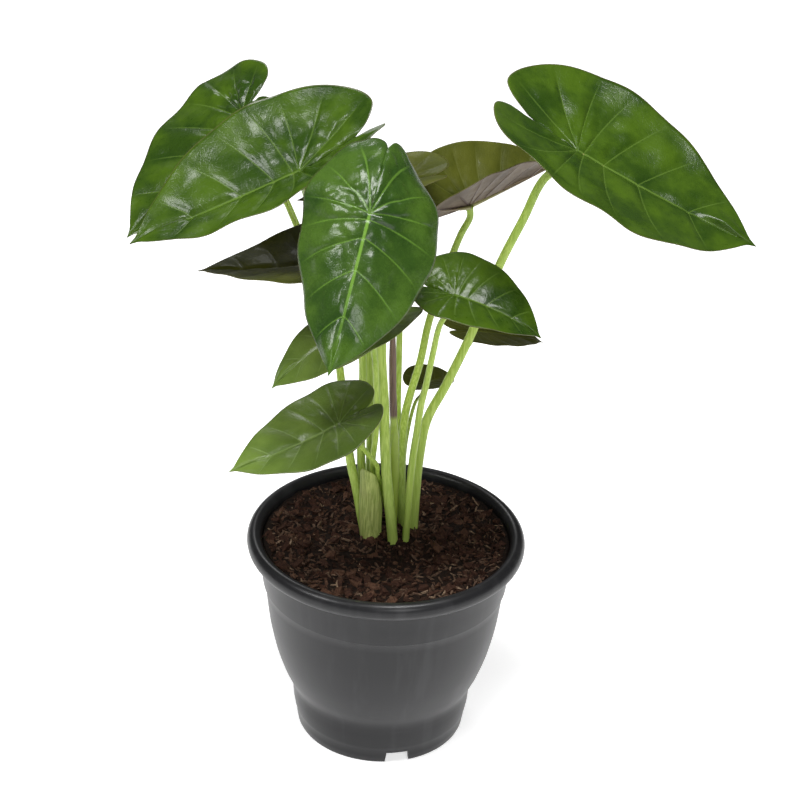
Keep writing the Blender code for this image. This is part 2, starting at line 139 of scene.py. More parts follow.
# The rolled new leaf: its foot and the points that it passes.
SPEAR_FOOT = (0.0042, 0.0126)
SPEAR_ROUTE = ((0.0042, 0.0157, 0.2015), (0.0028, 0.0175, 0.2333), (0.0012, 0.0189, 0.2574))

# Half of a blade's edge, tip to notch: along the midrib (stalk 0, tip 1) and out to the side.
BLADE_EDGE = (
    (1.0, 0.0), (0.955, 0.022), (0.90, 0.075), (0.80, 0.165), (0.60, 0.305), (0.35, 0.42),
    (0.08, 0.475), (-0.18, 0.455), (-0.38, 0.36), (-0.50, 0.23), (-0.52, 0.12),
    (-0.44, 0.035), (-0.33, 0.0),
)
ROWS = 120
COLUMNS = 26                 # from the midrib to the edge
JOINT_ROW = 0.5              # share of the rows that start on the midrib; the rest fan out
VEIN_PLACES = (0.0, 0.1, 0.2, 0.3, 0.4, 0.5, 0.65, 0.8, 1.0)
BLADE_THICKNESS = 0.0005
NOTCH_DEPTH = 0.33           # from the stalk to the notch between the lobes, in midrib lengths
NOTCH_CLOSED = {"front": 0.14}    # how far a blade's lobes have grown together
NOTCH_SPAN = 0.16            # half-width of the stretch that closes

# What the model leaves open: the colour of each blade and how rumpled it is.
Finish = namedtuple("Finish", "look seed rumple")
FINISHES = {
    "left_back": Finish("green", 1, 1.9), "left": Finish("green", 2, 1.6),
    "front": Finish("deep", 3, 1.9), "left_mid": Finish("olive", 4, 0.8),
    "left_low": Finish("pale", 5, 0.9), "front_low": Finish("pale", 6, 1.1),
    "right_low": Finish("green", 7, 1.0), "right": Finish("green", 8, 1.4),
    "back_right": Finish("olive", 9, 0.8), "back_left": Finish("olive", 10, 0.8),
    "right_under": Finish("olive", 11, 0.7), "back_low": Finish("olive", 12, 0.7),
}


# ---------------------------------------------------------------- shader helpers

class Socket:
    """A shader value that takes part in plain arithmetic, one Math node for each operation."""

    def __init__(self, tree, output):
        self.tree = tree
        self.output = output

    def math(self, operation, *others):
        values = [self, *others]
        return self.tree.node("ShaderNodeMath", {"operation": operation},
                              dict(enumerate(values)))

    def __add__(self, other):
        return self.math("ADD", other)

    __radd__ = __add__

    def __mul__(self, other):
        return self.math("MULTIPLY", other)

    __rmul__ = __mul__

    def __sub__(self, other):
        return self.math("SUBTRACT", other)

    def __rsub__(self, other):
        return self.tree.node("ShaderNodeMath", {"operation": "SUBTRACT"}, {0: other, 1: self})

    def __truediv__(self, other):
        return self.math("DIVIDE", other)

    def clamp(self):
        return self.tree.node("ShaderNodeClamp", {}, {"Value": self})

    def step(self, low, high):
        """0 below low, 1 above high and smooth between; low may be the larger."""
        return self.tree.node("ShaderNodeMapRange", {"interpolation_type": "SMOOTHSTEP"},
                              {"Value": self, "From Min": low, "From Max": high})


class Tree:
    """A material's node tree with one way to add any node."""

    def __init__(self, name):
        self.material = bpy.data.materials.new(name)
        self.material.use_nodes = True
        self.nodes = self.material.node_tree.nodes
        self.links = self.material.node_tree.links
        self.shader = self.nodes["Principled BSDF"]

    def node(self, kind, settings, values, output=0):
        made = self.nodes.new(kind)
        for key, value in settings.items():
            setattr(made, key, value)
        for key, value in values.items():
            self.feed(made.inputs[key], value)
        return Socket(self, made.outputs[output])

    def feed(self, socket, value):
        if isinstance(value, Socket):
            self.links.new(value.output, socket)
        elif isinstance(value, tuple) and len(value) == 3 and socket.type == "RGBA":
            socket.default_value = (*value, 1.0)
        else:
            socket.default_value = value

    def place(self):
        return self.node("ShaderNodeTexCoord", {}, {}, "Object")

    def attribute(self, name):
        return self.node("ShaderNodeAttribute", {"attribute_name": name}, {}, "Fac")

    def noise(self, scale, detail=4.0, roughness=0.55, vector=None, distortion=0.0):
        return self.node("ShaderNodeTexNoise", {}, {"Vector": vector or self.place(), "Scale": scale,
                         "Detail": detail, "Roughness": roughness, "Distortion": distortion}, "Fac")

    def stretched(self, scale):
        return self.node("ShaderNodeMapping", {}, {"Vector": self.place(), "Scale": scale})

    def mix(self, share, first, second, blend="MIX"):
        made = self.nodes.new("ShaderNodeMix")
        made.data_type = "RGBA"
        made.blend_type = blend
        self.feed(made.inputs["Factor"], share)
        self.feed(made.inputs[6], first)
        self.feed(made.inputs[7], second)
        return Socket(self, made.outputs[2])

    def bump(self, height, distance, strength=1.0):
        self.finish(Normal=self.node("ShaderNodeBump", {}, {"Height": height, "Distance": distance,
                                                            "Strength": strength}, "Normal"))

    def finish(self, **values):
        for name, value in values.items():
            self.feed(self.shader.inputs[name.replace("_", " ")], value)
        return self.material


# ---------------------------------------------------------------- materials

# Top colours of a blade: dark cells, light cells and veins.
BLADE_COLOURS = {
    "green": ((0.013, 0.038, 0.002), (0.052, 0.104, 0.004), (0.095, 0.165, 0.024)),
    "deep": ((0.016, 0.046, 0.005), (0.052, 0.108, 0.011), (0.140, 0.280, 0.034)),
    "pale": ((0.085, 0.145, 0.020), (0.145, 0.225, 0.036), (0.210, 0.310, 0.085)),
    "olive": ((0.046, 0.056, 0.005), (0.086, 0.096, 0.010), (0.100, 0.114, 0.020)),
}
VEIN_STRENGTH = {"green": 0.50, "deep": 0.45, "pale": 0.55, "olive": 0.35}
GLOSS = {"green": 0.26, "deep": 0.34, "pale": 0.28, "olive": 0.12}
BLADE_ROUGHNESS = {"green": 0.21, "deep": 0.19, "pale": 0.26, "olive": 0.42}
UNDER_COLOURS = ((0.070, 0.052, 0.034), (0.140, 0.110, 0.078), (0.050, 0.026, 0.020))


def vein_masks(tree, width):
    """Where the midrib and the side veins run, from the mesh's own distances in millimetres."""
    away = tree.attribute("vein_mm")
    middle = tree.attribute("middle_mm")
    edge = tree.attribute("edge_share")
    side = away.step(width * 1.0, width * 0.35) * edge.step(1.02, 0.55)
    main = middle.step(width * 1.9, width * 0.8) * tree.attribute("tip_share").step(-0.02, 0.02)
    return side, main


def blade_top_material(look):
    tree = Tree("blade_top_" + look)
    dark, light, vein = BLADE_COLOURS[look]
    side, main = vein_masks(tree, 0.75)
    cells = tree.noise(30.0, 4.0, 0.55)
    fine = tree.noise(240.0, 3.0, 0.6)
    # Darker towards the vein grooves and lighter on the puffed cells between them: painted shade in the
    # creases.
    between = tree.attribute("vein_mm").step(0.0, 8.0)
    share = (cells.step(0.36, 0.66) * 0.75 + between * 0.15 + fine * 0.1).clamp()
    colour = tree.mix(share, dark, light)
    colour = tree.mix((side * VEIN_STRENGTH[look]).clamp(), colour, vein)
    fading = tree.attribute("tip_share").step(0.95, 0.25)
    colour = tree.mix((main * (fading * 0.7 + 0.2)).clamp(), colour, vein)
    rim = tree.attribute("edge_share").step(0.982, 0.998)
    colour = tree.mix(rim * 0.6, colour, (0.110, 0.100, 0.040))
    net = tree.node("ShaderNodeTexVoronoi", {"feature": "DISTANCE_TO_EDGE"},
                    {"Vector": tree.place(), "Scale": 300.0}, "Distance")
    height = net.step(0.0, 0.16) * 0.35 + fine * 0.45 - side * 0.8 - main * 0.6
    tree.bump(height, 0.0003, 0.4)
    gloss = GLOSS[look]
    rough = fine * 0.10 + cells * 0.06 + BLADE_ROUGHNESS[look]
    return tree.finish(Base_Color=colour, Roughness=rough, Coat_Weight=gloss * 0.3, Coat_Roughness=0.10,
                       Specular_IOR_Level=gloss)


def blade_under_material():
    tree = Tree("blade_under")
    dull, greyer, vein = UNDER_COLOURS
    side, main = vein_masks(tree, 1.1)
    cells = tree.noise(45.0, 4.0, 0.6)
    colour = tree.mix(cells.step(0.3, 0.7), dull, greyer)
    colour = tree.mix((side * 0.8).clamp(), colour, vein)
    colour = tree.mix((main * 0.8).clamp(), colour, (0.14, 0.10, 0.045))
    fine = tree.noise(300.0, 3.0, 0.6)
    tree.bump(side * 1.0 + main * 1.0 + fine * 0.3, 0.0005, 0.8)
    return tree.finish(Base_Color=colour, Roughness=0.50 + fine * 0.12, Specular_IOR_Level=0.15)


def stalk_material():
    tree = Tree("leaf_stalk")
    along = tree.attribute("along")
    streaks = tree.noise(1.0, 4.0, 0.55, tree.stretched((900.0, 900.0, 14.0)))
    patches = tree.noise(26.0, 3.0, 0.5)
    colour = tree.mix(streaks.step(0.35, 0.68), (0.270, 0.400, 0.045), (0.430, 0.560, 0.115))
    colour = tree.mix(along.step(0.45, 1.0) * 0.6, colour, (0.250, 0.380, 0.060))
    colour = tree.mix(along.step(0.30, 0.0) * 0.55, colour, (0.400, 0.540, 0.130))
    colour = tree.mix(along.step(0.05, 0.0) * 0.5, colour, (0.560, 0.560, 0.230))
    colour = tree.mix(patches.step(0.55, 0.75) * 0.35, colour, (0.190, 0.310, 0.030))
    tree.bump(streaks, 0.00025, 0.7)
    return tree.finish(Base_Color=colour, Roughness=0.40 + streaks * 0.12, Coat_Weight=0.05,
                       Coat_Roughness=0.3, Specular_IOR_Level=0.30)


def rib_material():
    tree = Tree("leaf_rib")
    along = tree.attribute("along")
    streaks = tree.noise(1.0, 3.0, 0.5, tree.stretched((500.0, 500.0, 120.0)))
    colour = tree.mix(streaks, (0.170, 0.150, 0.050), (0.250, 0.250, 0.080))
    colour = tree.mix(along.step(0.1, 0.6) * 0.8, colour, (0.130, 0.080, 0.050))
    tree.bump(streaks, 0.0002, 0.5)
    return tree.finish(Base_Color=colour, Roughness=0.45)


def young_leaf_material():
    tree = Tree("young_leaf")
    along = tree.attribute("along")
    streaks = tree.noise(1.0, 4.0, 0.6, tree.stretched((700.0, 700.0, 18.0)))
    colour = tree.mix(streaks.step(0.3, 0.7), (0.060, 0.030, 0.020), (0.150, 0.090, 0.055))
    colour = tree.mix(along.step(0.60, 0.56), colour, (0.280, 0.380, 0.050))
    tree.bump(streaks, 0.0003, 0.8)
    return tree.finish(Base_Color=colour, Roughness=0.38 + streaks * 0.1)


def sheath_material():
    tree = Tree("old_sheath")
    fibres = tree.noise(1.0, 5.0, 0.65, tree.stretched((1100.0, 1100.0, 22.0)))
    patches = tree.noise(60.0, 3.0, 0.5)
    colour = tree.mix(fibres.step(0.35, 0.65), (0.240, 0.320, 0.060), (0.520, 0.600, 0.180))
    colour = tree.mix(patches.step(0.5, 0.8) * 0.4, colour, (0.240, 0.200, 0.080))
    tree.bump(fibres, 0.0004, 0.9)
    return tree.finish(Base_Color=colour, Roughness=0.55 + fibres * 0.15)


def soil_material(name, dark, light, scale):
    tree = Tree(name)
    crumbs = tree.noise(scale, 6.0, 0.7)
    grit = tree.noise(scale * 5.0, 4.0, 0.7)
    share = (crumbs * 0.6 + grit * 0.4).step(0.38, 0.68)
    tree.bump(crumbs * 0.6 + grit * 0.4, 0.0012, 0.9)
    return tree.finish(Base_Color=tree.mix(share, dark, light), Roughness=0.78 + grit * 0.2,
                       Specular_IOR_Level=0.15)


def pot_material():
    tree = Tree("pot_plastic")
    haze = tree.noise(14.0, 4.0, 0.5)
    grain = tree.noise(900.0, 3.0, 0.6)
    scuffs = tree.noise(1.0, 5.0, 0.7, tree.stretched((26.0, 26.0, 240.0)))
    marks = scuffs.step(0.62, 0.80)
    # Lighter vertical streaks in the plastic's colour: painted reflection streaks.
    sheen_streaks_and_rib_runs = tree.noise(1.0, 3.0, 0.5, tree.stretched((70.0, 70.0, 4.0)))
    colour = tree.mix(haze, (0.0095, 0.0095, 0.0105), (0.0150, 0.0150, 0.0162))
    colour = tree.mix(marks * 0.30, colour, (0.050, 0.050, 0.052))
    colour = tree.mix(sheen_streaks_and_rib_runs.step(0.50, 0.75) * 0.5, colour, (0.034, 0.034, 0.036))
    tree.bump(grain * 0.5 + marks * 0.3, 0.00015, 0.5)
    return tree.finish(Base_Color=colour, Roughness=0.32 + haze * 0.10 + marks * 0.10,
                       Specular_IOR_Level=0.24, Coat_Weight=0.10, Coat_Roughness=0.18)


def floor_material():
    tree = Tree("pale_floor")
    cloud = tree.noise(3.0, 2.0, 0.5)
    return tree.finish(Base_Color=tree.mix(cloud, (0.93, 0.93, 0.93), (0.95, 0.95, 0.95)),
                       Roughness=0.7, Emission_Color=(1.0, 1.0, 1.0), Emission_Strength=0.62)


# ---------------------------------------------------------------- mesh helpers

def grid_piece(name, rows, columns, place, materials, attributes=()):
    """A grid whose points are moved by place(s, y): s from 0 to 1 down the rows, y from -1 to 1
    across them. Points that meet are joined, so a collapsed row closes the shape. place returns
    the points and a dictionary of values for the named attributes."""
    edit = bmesh.new()
    bmesh.ops.create_grid(edit, x_segments=rows, y_segments=columns, size=1.0)
    mesh = bpy.data.meshes.new(name)
    edit.to_mesh(mesh)
    edit.free()
    flat = np.empty(len(mesh.vertices) * 3, dtype=np.float32)
    mesh.vertices.foreach_get("co", flat)
    flat = flat.reshape(-1, 3)
    points, values = place((flat[:, 0].astype(float) + 1) / 2, flat[:, 1].astype(float))
    mesh.vertices.foreach_set("co", np.asarray(points, dtype=np.float32).ravel())
    for attribute in attributes:
        layer = mesh.attributes.new(attribute, "FLOAT", "POINT")
        layer.data.foreach_set("value", np.asarray(values[attribute], dtype=np.float32))
    return mesh_piece(name, mesh, materials)


def mesh_piece(name, mesh, materials):
    """Merge what meets, point the faces outwards, shade it smooth and put it in the scene."""
    edit = bmesh.new()
    edit.from_mesh(mesh)
    bmesh.ops.remove_doubles(edit, verts=edit.verts, dist=0.000004)
    bmesh.ops.recalc_face_normals(edit, faces=edit.faces)
    edit.to_mesh(mesh)
    edit.free()
    mesh.shade_smooth()
    for material in materials:
        mesh.materials.append(material)
    piece = bpy.data.objects.new(name, mesh)
    bpy.context.collection.objects.link(piece)
    return piece


def hand_over(piece, slot, *nodes):
    """Let a finished piece ride on the model's one body and stand for its nodes."""
    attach(piece, "root")
    if nodes:
        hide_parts(*nodes)


def smooth_path(points, count):
    """Evenly spread points on a centripetal Catmull-Rom curve through the given points."""
    knots = [Vector(point) for point in points]
    knots.insert(0, 2 * knots[0] - knots[1])
    knots.append(2 * knots[-1] - knots[-2])
    times = [0.0]
    for first, second in zip(knots, knots[1:]):
        times.append(times[-1] + math.sqrt((second - first).length))
    path = []
    for step in range(count):
        time = times[1] + (times[-2] - times[1]) * step / (count - 1)
        span = 1
        while span < len(knots) - 3 and time > times[span + 1]:
            span += 1
        p0, p1, p2, p3 = knots[span - 1:span + 3]
        t0, t1, t2, t3 = times[span - 1:span + 3]
        a1 = p0.lerp(p1, (time - t0) / (t1 - t0))
        a2 = p1.lerp(p2, (time - t1) / (t2 - t1))
        a3 = p2.lerp(p3, (time - t2) / (t3 - t2))
        b1 = a1.lerp(a2, (time - t0) / (t2 - t0))
        b2 = a2.lerp(a3, (time - t1) / (t3 - t1))
        path.append(b1.lerp(b2, (time - t1) / (t2 - t1)))
    return path


# ---------------------------------------------------------------- leaf blades

def blade_axes(leaf):
    """Unit vectors of a blade at its stalk: towards the tip, to the left side, out of the top."""
    heading = math.radians(leaf.heading)
    pitch = math.radians(leaf.pitch)
    roll = math.radians(leaf.roll)
    forward = Vector((math.cos(heading) * math.cos(pitch), math.sin(heading) * math.cos(pitch),
                      math.sin(pitch)))
    level_side = Vector((-math.sin(heading), math.cos(heading), 0.0))
    level_top = forward.cross(level_side)
    side = level_side * math.cos(roll) + level_top * math.sin(roll)
    return forward, side, forward.cross(side)


def bend_blade(leaf, along, across, rise=0.0):
    """Points of the bent blade from their places on the flat one, in midrib lengths."""
    forward, side, top = (np.array(axis) for axis in blade_axes(leaf))
    bend = np.radians(np.where(along > 0, leaf.droop, leaf.back))
    bend = np.where(np.abs(bend) < 0.001, 0.001, bend)
    angle = bend * np.abs(along)
    reach = np.sin(angle) / bend
    drop = (1 - np.cos(angle)) / bend
    direction = np.where(along > 0, 1.0, -1.0)
    away = np.abs(across)
    lift = math.radians(leaf.fold) + math.radians(leaf.curl) * away / 2
    slope = math.radians(leaf.fold) + math.radians(leaf.curl) * away
    outward = away * np.cos(lift) - rise * np.sin(slope)
    out = outward * np.where(across < 0, -1.0, 1.0)
    high = away * np.sin(lift) + rise * np.cos(slope)
    turn = math.radians(leaf.twist) * along
    out, high = out * np.cos(turn) - high * np.sin(turn), out * np.sin(turn) + high * np.cos(turn)
    local = ((direction * (reach + high * np.sin(angle)))[:, None] * forward
             + out[:, None] * side + (high * np.cos(angle) - drop)[:, None] * top)
    return np.array(leaf.joint) + local * leaf.length


EDGE_CURVE = np.array([tuple(point) for point in
                       smooth_path([(along, across, 0.0) for along, across in BLADE_EDGE], 400)])


def vein_rows(s):
    """Where each row of the blade starts on the midrib and ends on the edge."""
    start = np.clip(1 - s / JOINT_ROW, 0, 1) ** 2.1
    share = np.clip(1.35 * s - 0.35 * s * s, 0, 1)
    run = np.concatenate([[0], np.cumsum(np.linalg.norm(np.diff(EDGE_CURVE, axis=0), axis=1))])
    run /= run[-1]
    return start, np.interp(share, run, EDGE_CURVE[:, 0]), np.interp(share, run, EDGE_CURVE[:, 1])


def flat_blade(s, t):
    """Place on the flat blade: s picks the row, t runs from the midrib (0) to the edge (1)."""
    start, end_along, end_across = vein_rows(s)
    reach = np.hypot(end_along - start, end_across)
    bow = 0.07 * reach * np.clip((0.75 - s) / 0.35, 0, 1)
    middle_along = start + (end_along - start) * 0.5 - bow
    middle_across = end_across * 0.55
    along = (1 - t) ** 2 * start + 2 * t * (1 - t) * middle_along + t * t * end_along
    across = 2 * t * (1 - t) * middle_across + t * t * end_across
    return along, across


def close_notch(leaf, along, across):
    """Carry the notch between the lobes back on a blade whose lobes have grown together."""
    middle = np.clip(1 - across / NOTCH_SPAN, 0, 1)
    behind = np.clip(-along / NOTCH_DEPTH, 0, 1)
    return along - NOTCH_CLOSED.get(leaf.name, 0.0) * middle * behind


def blade_relief(leaf, s, t, half, along, across):
    """Height of the cells between the veins, the vein grooves, puckers and the wavy edge, and how
    far each point lies from the nearest vein, all in midrib lengths."""
    finish = FINISHES[leaf.name]
    phase = np.interp(s, VEIN_PLACES, range(len(VEIN_PLACES)))
    ahead = flat_blade(np.clip(s - 0.05, 0, 1), t)
    behind = flat_blade(np.clip(s + 0.05, 0, 1), t)
    local = np.hypot(ahead[0] - behind[0], ahead[1] - behind[1]) / 0.1
    off = np.abs(s - np.interp(np.round(phase), range(len(VEIN_PLACES)), VEIN_PLACES)) * local
    gap = local * np.interp(phase, np.arange(len(VEIN_PLACES) - 1) + 0.5, np.diff(VEIN_PLACES))
    cell = np.sin(math.pi * np.abs(phase - np.round(phase)))
    wobble = 0.7 + 0.3 * np.sin(2.4 * np.floor(phase) + 3.1 * half + finish.seed)
    fade = np.clip(t / 0.15, 0, 1) * (1 - 0.9 * np.clip((t - 0.5) / 0.5, 0, 1))
    relief = 0.075 * gap * cell ** 0.8 * wobble * fade
    large = np.array([noise.noise(Vector((a * 6 + finish.seed * 3.7, c * 6 + h * 40, 0.0)))
                      for a, c, h in zip(along, across, half)])
    small = np.array([noise.noise(Vector((a * 19 + finish.seed * 5.1, c * 19 + h * 40, 7.0)))
                      for a, c, h in zip(along, across, half)])
    near_joint = np.exp(-((along + 0.06) ** 2 + across ** 2) / 0.07)
    inner = np.clip(t / 0.12, 0, 1) * np.clip((1.02 - t) / 0.3, 0, 1) * np.clip(off / 0.02, 0, 1)
    relief = relief + finish.rumple * (0.010 * large + (0.0015 + 0.0085 * near_joint) * small) * inner
    groove = np.exp(-(off * leaf.length / 0.0012) ** 2) * np.clip(1 - t, 0, 1)
    relief = relief - 0.0030 * groove - 0.005 * np.exp(-(across * leaf.length / 0.0020) ** 2)
    wave = np.sin(2 * math.pi * (phase * 0.55 + finish.seed * 0.37 + 0.31 * half))
    relief = relief + 0.007 * finish.rumple * wave * t ** 4 * np.clip(s / 0.15, 0, 1)
    return relief, off


def build_blade(leaf, materials):
    """A blade with its veins, cells and two differently coloured faces."""
    def place(s, y):
        t = np.abs(y)
        half = np.where(y < 0, 1, 0)
        along, across = flat_blade(s, t)
        relief, off = blade_relief(leaf, s, t, half, along, across)
        along = close_notch(leaf, along, across)
        along = np.where(along < 0, along * np.array(leaf.lobe)[half], along)
        across = across * np.array(leaf.width)[half]
        points = bend_blade(leaf, along, across * np.sign(y), relief)
        scale = 1000 * leaf.length
        return points, {"vein_mm": off * scale, "middle_mm": np.abs(across) * scale,
                        "edge_share": t, "tip_share": along}

    piece = grid_piece("blade_piece_" + leaf.name, ROWS, 2 * COLUMNS, place, materials,
                       ("vein_mm", "middle_mm", "edge_share", "tip_share"))
    skin = piece.modifiers.new("thickness", "SOLIDIFY")
    skin.thickness = BLADE_THICKNESS
    skin.offset = 0.0
    skin.material_offset = 1
    skin.material_offset_rim = 0
    hand_over(piece, "leaf_blade", "blade_" + leaf.name)
    return piece


# ---------------------------------------------------------------- stalks

def tube(name, path, section, columns, materials):
    """A closed tube along a path; section(share, angle) gives the radius at a place on it."""
    rows = len(path) + 1
    tangents = [(path[min(i + 1, len(path) - 1)] - path[max(i - 1, 0)]).normalized()
                for i in range(len(path))]
    sides = [(Vector((1, 0, 0)) - tangents[0] * tangents[0].x).normalized()]
    for tangent in tangents[1:]:
        side = sides[-1] - tangent * sides[-1].dot(tangent)
        sides.append(side.normalized())
    centres = np.array([path[0], *path, path[-1]])
    first = np.array([sides[0], *sides, sides[-1]])
    second = np.array([tangent.cross(side) for tangent, side in zip(tangents, sides)])
    second = np.vstack([second[:1], second, second[-1:]])
    open_ring = np.ones(len(centres))
    open_ring[0] = 0
    open_ring[-1] = 0

    def place(s, y):
        index = np.rint(s * rows).astype(int)
        share = np.clip((index - 1) / (len(path) - 1), 0, 1)
        angle = math.pi * y
        radius = section(share, angle) * open_ring[index]
        points = (centres[index] + first[index] * (radius * np.cos(angle))[:, None]
                  + second[index] * (radius * np.sin(angle))[:, None])
        return points, {"along": share}

    return grid_piece(name, rows, columns, place, materials, ("along",))


def stalk_points(leaf):
    """The stalk's route, carried into the soil at its foot and up to the blade's underside."""
    top = blade_axes(leaf)[2]
    dip = leaf.top_radius * max(0.0, -math.sin(math.radians(leaf.fold)))
    end = Vector(leaf.joint) - top * (0.0012 + dip)
    foot = Vector((*leaf.foot, SOIL_TOP - 0.004))
    return [foot, Vector((*leaf.foot, SOIL_TOP + 0.002)), *map(Vector, leaf.route),
            end - top * 0.008, end]


def build_stalk(leaf, material):
    """A round stalk that widens to a channelled sheath at its foot."""
    path = smooth_path(stalk_points(leaf), 70)
    facing = math.radians(random.uniform(0, 360))

    def section(share, angle):
        radius = leaf.foot_radius + (leaf.top_radius - leaf.foot_radius) * share ** 0.6
        sheath = np.exp(-((share / 0.22) ** 2))
        wide = 1 + 0.16 * sheath * np.cos(2 * (angle - facing))
        turn = np.angle(np.exp(1j * (angle - facing - 1.57)))
        channel = 1 - 0.16 * np.exp(-(turn / 0.5) ** 2) * (0.25 + 0.75 * sheath)
        flare = 1 + 0.3 * np.exp(-((1 - share) * 60) ** 2)
        ridges = 1 + 0.012 * np.cos(9 * angle + 2 * facing)
        return radius * wide * channel * flare * ridges

    piece = tube("stalk_piece_" + leaf.name, path, section, 28, [material])
    hand_over(piece, "leaf_stalk", "stalk_" + leaf.name)


def build_ribs(leaf, material):
    """The midrib and the two lobe ribs that stand out under a blade."""
    edits = bmesh.new()
    side_row = 0.8
    dip = 1.6 * max(0.0, -math.sin(math.radians(leaf.fold)))
    sheen_streaks_and_rib_runs = [(np.linspace(0.02, 0.93, 40), np.zeros(40), 1.0)]
    t = np.linspace(0.03, 0.80, 24)
    along, across = flat_blade(np.full(24, side_row), t)
    sheen_streaks_and_rib_runs += [(along * leaf.lobe[half], across * leaf.width[half] * sign, 0.7)
             for half, sign in enumerate((1, -1))]
    parts = []
    for number, (along, across, share) in enumerate(sheen_streaks_and_rib_runs):
        root_radius = leaf.top_radius * share
        steps = np.linspace(0, 1, len(along))
        drop = 0.0085 + (0.8 + dip) * root_radius * (1 - 0.82 * steps ** 0.8) / leaf.length
        points = bend_blade(leaf, along, across, -drop)

        def section(place, angle, root_radius=root_radius):
            return root_radius * (1 - 0.82 * place ** 0.8) + 0 * angle

        path = [Vector(point) for point in points]
        parts.append(tube("rib_part_%d" % number, path, section, 10, [material]))
    for part in parts:
        edits.from_mesh(part.data)
    mesh = bpy.data.meshes.new("rib_piece_" + leaf.name)
    edits.to_mesh(mesh)
    edits.free()
    for part in parts:
        bpy.data.objects.remove(part, do_unlink=True)
    mesh.shade_smooth()
    mesh.materials.append(material)
    piece = bpy.data.objects.new("rib_piece_" + leaf.name, mesh)
    bpy.context.collection.objects.link(piece)
    hand_over(piece, "leaf_stalk")


def build_new_leaf(material):
    """The next leaf, still rolled into a spear."""
    knots = [(*SPEAR_FOOT, SOIL_TOP - 0.004), *SPEAR_ROUTE, (-0.0012, 0.0215, 0.326)]

    def section(share, angle):
        swell = 0.0034 - 0.0008 * np.clip((share - 0.45) / 0.1, 0, 1)
        taper = np.clip((1 - share) / 0.16, 0, 1) ** 0.6
        turn = np.angle(np.exp(1j * (angle - 9 * share)))
        seam = 1 - 0.16 * np.exp(-(turn / 0.25) ** 2) + 0.10 * np.exp(-((turn - 0.4) / 0.3) ** 2)
        return (0.0007 + (swell - 0.0007) * taper) * seam

    piece = tube("new_leaf_piece", smooth_path(knots, 80), section, 32, [material])
    hand_over(piece, "young_leaf", "new_leaf")


def build_old_sheath(material):
    """A withered wrapper leaf that still clasps the left side of the clump."""
    centre = Vector((-0.0100, 0.0035, SOIL_TOP - 0.003))

    def place(s, y):
        height = 0.062 * s
        half = np.radians(110 - 30 * s ** 3)
        angle = np.radians(-118) + half * y
        radius = 0.0075 + 0.0012 * np.cos(3 * y + 5 * s) - 0.0015 * s
        lean = -0.004 * s
        points = np.stack([centre.x + lean + radius * np.cos(angle) * (1 + 0.12 * y * y),
                           centre.y + radius * np.sin(angle),
                           centre.z + height * (1 - 0.10 * y * y)], axis=1)
        return points, {}

    piece = grid_piece("old_sheath", 40, 24, place, [material])
    skin = piece.modifiers.new("thickness", "SOLIDIFY")
    skin.thickness = 0.0006
    skin.offset = 0.0
    hand_over(piece, "leaf_stalk")


# ---------------------------------------------------------------- potting mix

def soil_height(x, y):
    """The uneven surface of the potting mix, with a small rise round the clump."""
    lumps = noise.noise(Vector((x * 60, y * 60, 3.0))) * 0.0016
    crumbs = noise.noise(Vector((x * 260, y * 260, 9.0))) * 0.0011
    mound = 0.0030 * math.exp(-((x - CLUMP.x) ** 2 + (y - CLUMP.y) ** 2) / 0.034 ** 2)
    edge = 0.0014 * max(0.0, (math.hypot(x, y) - 0.070) / 0.0186)
    return SOIL_TOP + lumps + crumbs + mound + edge


def build_soil(material):
    """The potting mix: its uneven top, its side and its underside in one closed shape."""
    rings = 64
    columns = 220
    wall = [(0.0880, 0.1490), (0.0864, 0.1350), (0.0842, 0.1200), (0.0825, 0.1050), (0.0806, 0.0900),
            (0.0777, 0.0750), (0.0738, 0.0600), (0.0690, 0.0460), (0.0650, 0.0400),
            (0.0626, 0.0300), (0.0596, 0.0140), (0.0240, 0.0132), (0.0205, 0.0034), (0.0, 0.0034)]
    rows = rings + len(wall)

    def place(s, y):
        index = np.rint(s * rows).astype(int)
        points = []
        for row, turn in zip(index, math.pi * y):
            if row <= rings:
                radius = SOIL_RADIUS * row / rings
                spot = (radius * math.cos(turn), radius * math.sin(turn))
                points.append((*spot, soil_height(*spot)))
            else:
                radius, height = wall[row - rings - 1]
                points.append((radius * math.cos(turn), radius * math.sin(turn), height))
        return np.array(points), {}

    piece = grid_piece("potting_mix_piece", rows, columns, place, [material])
    hand_over(piece, "potting_mix", "potting_mix", "corm")


BATCH_SIZE = 60


def scatter(name, count, material, make, spread=0.0855):
    """Loose bits lying on the potting mix, in batches so that the building stays quick."""
    whole = bmesh.new()
    for start in range(0, count, BATCH_SIZE):
        edit = bmesh.new()
        for _bit in range(min(BATCH_SIZE, count - start)):
            radius = spread * math.sqrt(random.random())
            angle = random.uniform(0, math.tau)
            x = radius * math.cos(angle)
            y = radius * math.sin(angle)
            tilt = Euler((random.gauss(0, 0.35), random.gauss(0, 0.35), random.uniform(0, math.tau)))
            lift = random.uniform(-0.0008, 0.0012)
            spot = Matrix.Translation((x, y, soil_height(x, y) + lift)) @ tilt.to_matrix().to_4x4()
            make(edit, spot)
        batch = bpy.data.meshes.new("batch")
        edit.to_mesh(batch)
        edit.free()
        whole.from_mesh(batch)
        bpy.data.meshes.remove(batch)
    mesh = bpy.data.meshes.new(name)
    whole.to_mesh(mesh)
    whole.free()
    mesh.materials.append(material)
    piece = bpy.data.objects.new(name, mesh)
    bpy.context.collection.objects.link(piece)
    hand_over(piece, "potting_mix")


